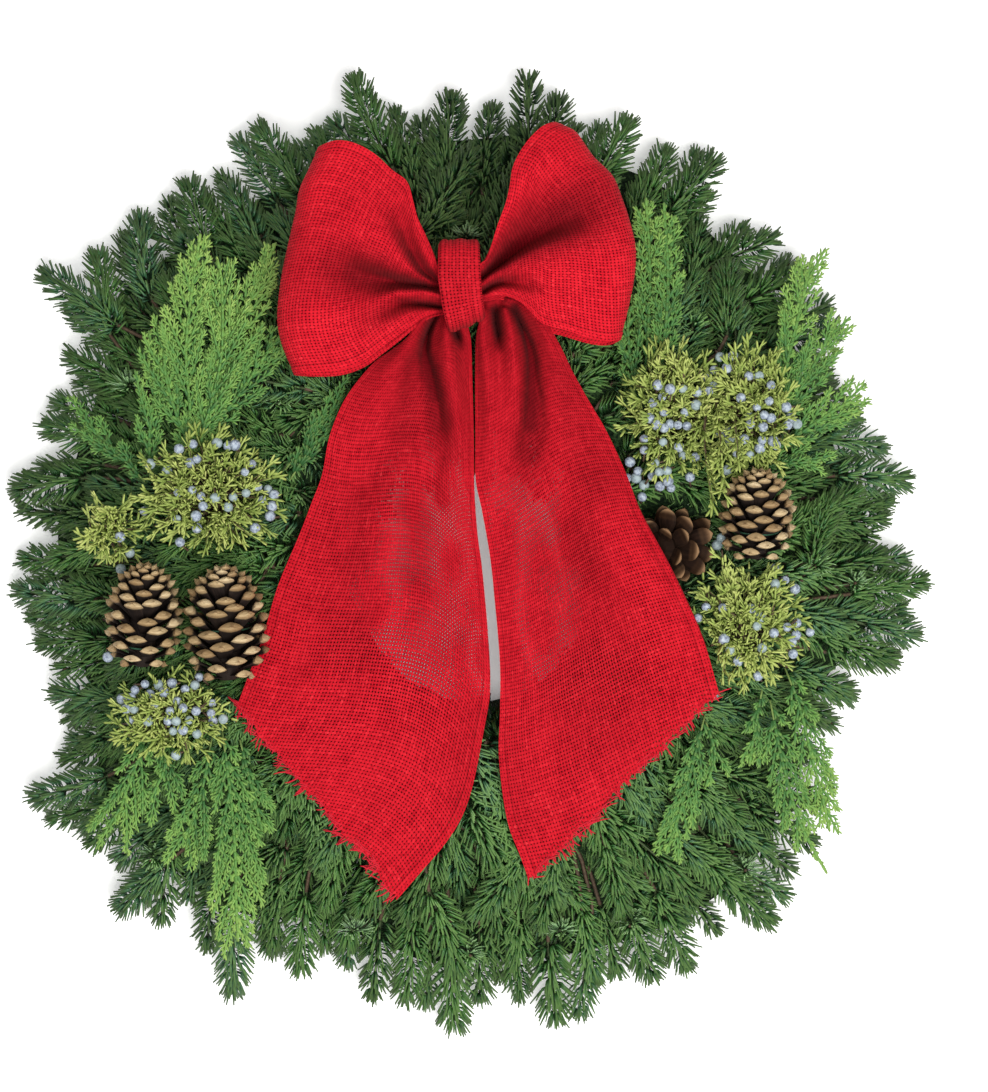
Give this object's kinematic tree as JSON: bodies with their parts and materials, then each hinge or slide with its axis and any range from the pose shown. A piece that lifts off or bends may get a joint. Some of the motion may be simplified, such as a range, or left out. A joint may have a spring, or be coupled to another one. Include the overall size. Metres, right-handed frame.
{
  "type": "fresh evergreen wreath",
  "caption": "Round evergreen wreath of fir on a clamped wire ring, dressed with cedar, berried juniper, pine cones and a red burlap bow with long frayed tails.",
  "frame": {"origin": "middle of the underside, on the surface the wreath lies on", "axes": "+Z out of the front face of the wreath, +Y towards the bow, +X to the right seen from the front"},
  "size_m": [0.608, 0.635, 0.1331],
  "materials": {
    "fir_foliage": "dark green fir needles with a waxy sheen and paler tips, on brown twigs",
    "cedar_foliage": "flat scale-leaved sprays, bright yellow-green, satin",
    "juniper_foliage": "fine yellow-green twigs with powder-blue berries",
    "pine_cone": "dry open scales, tan ends over a dark brown inside",
    "burlap": "open plain weave of coarse red jute, frayed at the cut ends",
    "ring_wire": "dark green painted steel wire",
    "tie_wire": "thin green florist's wire"
  },
  "bodies": {
    "root": {"ring_wire_inner": "ring_wire", "ring_wire_outer": "ring_wire", "clamp_01": "ring_wire", "clamp_02": "ring_wire", "clamp_03": "ring_wire", "clamp_04": "ring_wire", "clamp_05": "ring_wire", "clamp_06": "ring_wire", "clamp_07": "ring_wire", "clamp_08": "ring_wire", "clamp_09": "ring_wire", "clamp_10": "ring_wire", "clamp_11": "ring_wire", "clamp_12": "ring_wire", "fir_bunch_01": "fir_foliage", "fir_bunch_02": "fir_foliage", "fir_bunch_03": "fir_foliage", "fir_bunch_04": "fir_foliage", "fir_bunch_05": "fir_foliage", "fir_bunch_06": "fir_foliage", "fir_bunch_07": "fir_foliage", "fir_bunch_08": "fir_foliage", "fir_bunch_09": "fir_foliage", "fir_bunch_10": "fir_foliage", "fir_bunch_11": "fir_foliage", "fir_bunch_12": "fir_foliage", "cedar_sprig_01": "cedar_foliage", "cedar_sprig_02": "cedar_foliage", "cedar_sprig_03": "cedar_foliage", "cedar_sprig_04": "cedar_foliage", "cedar_sprig_05": "cedar_foliage", "cedar_sprig_06": "cedar_foliage", "cedar_sprig_07": "cedar_foliage", "cedar_sprig_08": "cedar_foliage", "cedar_sprig_09": "cedar_foliage", "juniper_sprig_01": "juniper_foliage", "juniper_sprig_02": "juniper_foliage", "juniper_sprig_03": "juniper_foliage", "juniper_sprig_04": "juniper_foliage", "juniper_sprig_05": "juniper_foliage", "juniper_sprig_06": "juniper_foliage", "pine_cone_01": "pine_cone", "pine_cone_02": "pine_cone", "pine_cone_03": "pine_cone", "pine_cone_04": "pine_cone", "cone_wire_01": "tie_wire", "cone_wire_02": "tie_wire", "cone_wire_03": "tie_wire", "cone_wire_04": "tie_wire", "bow_knot": "burlap", "bow_loop_left": "burlap", "bow_loop_right": "burlap", "bow_tail_left": "burlap", "bow_tail_right": "burlap", "bow_wire": "tie_wire"}
  },
  "joints": []
}
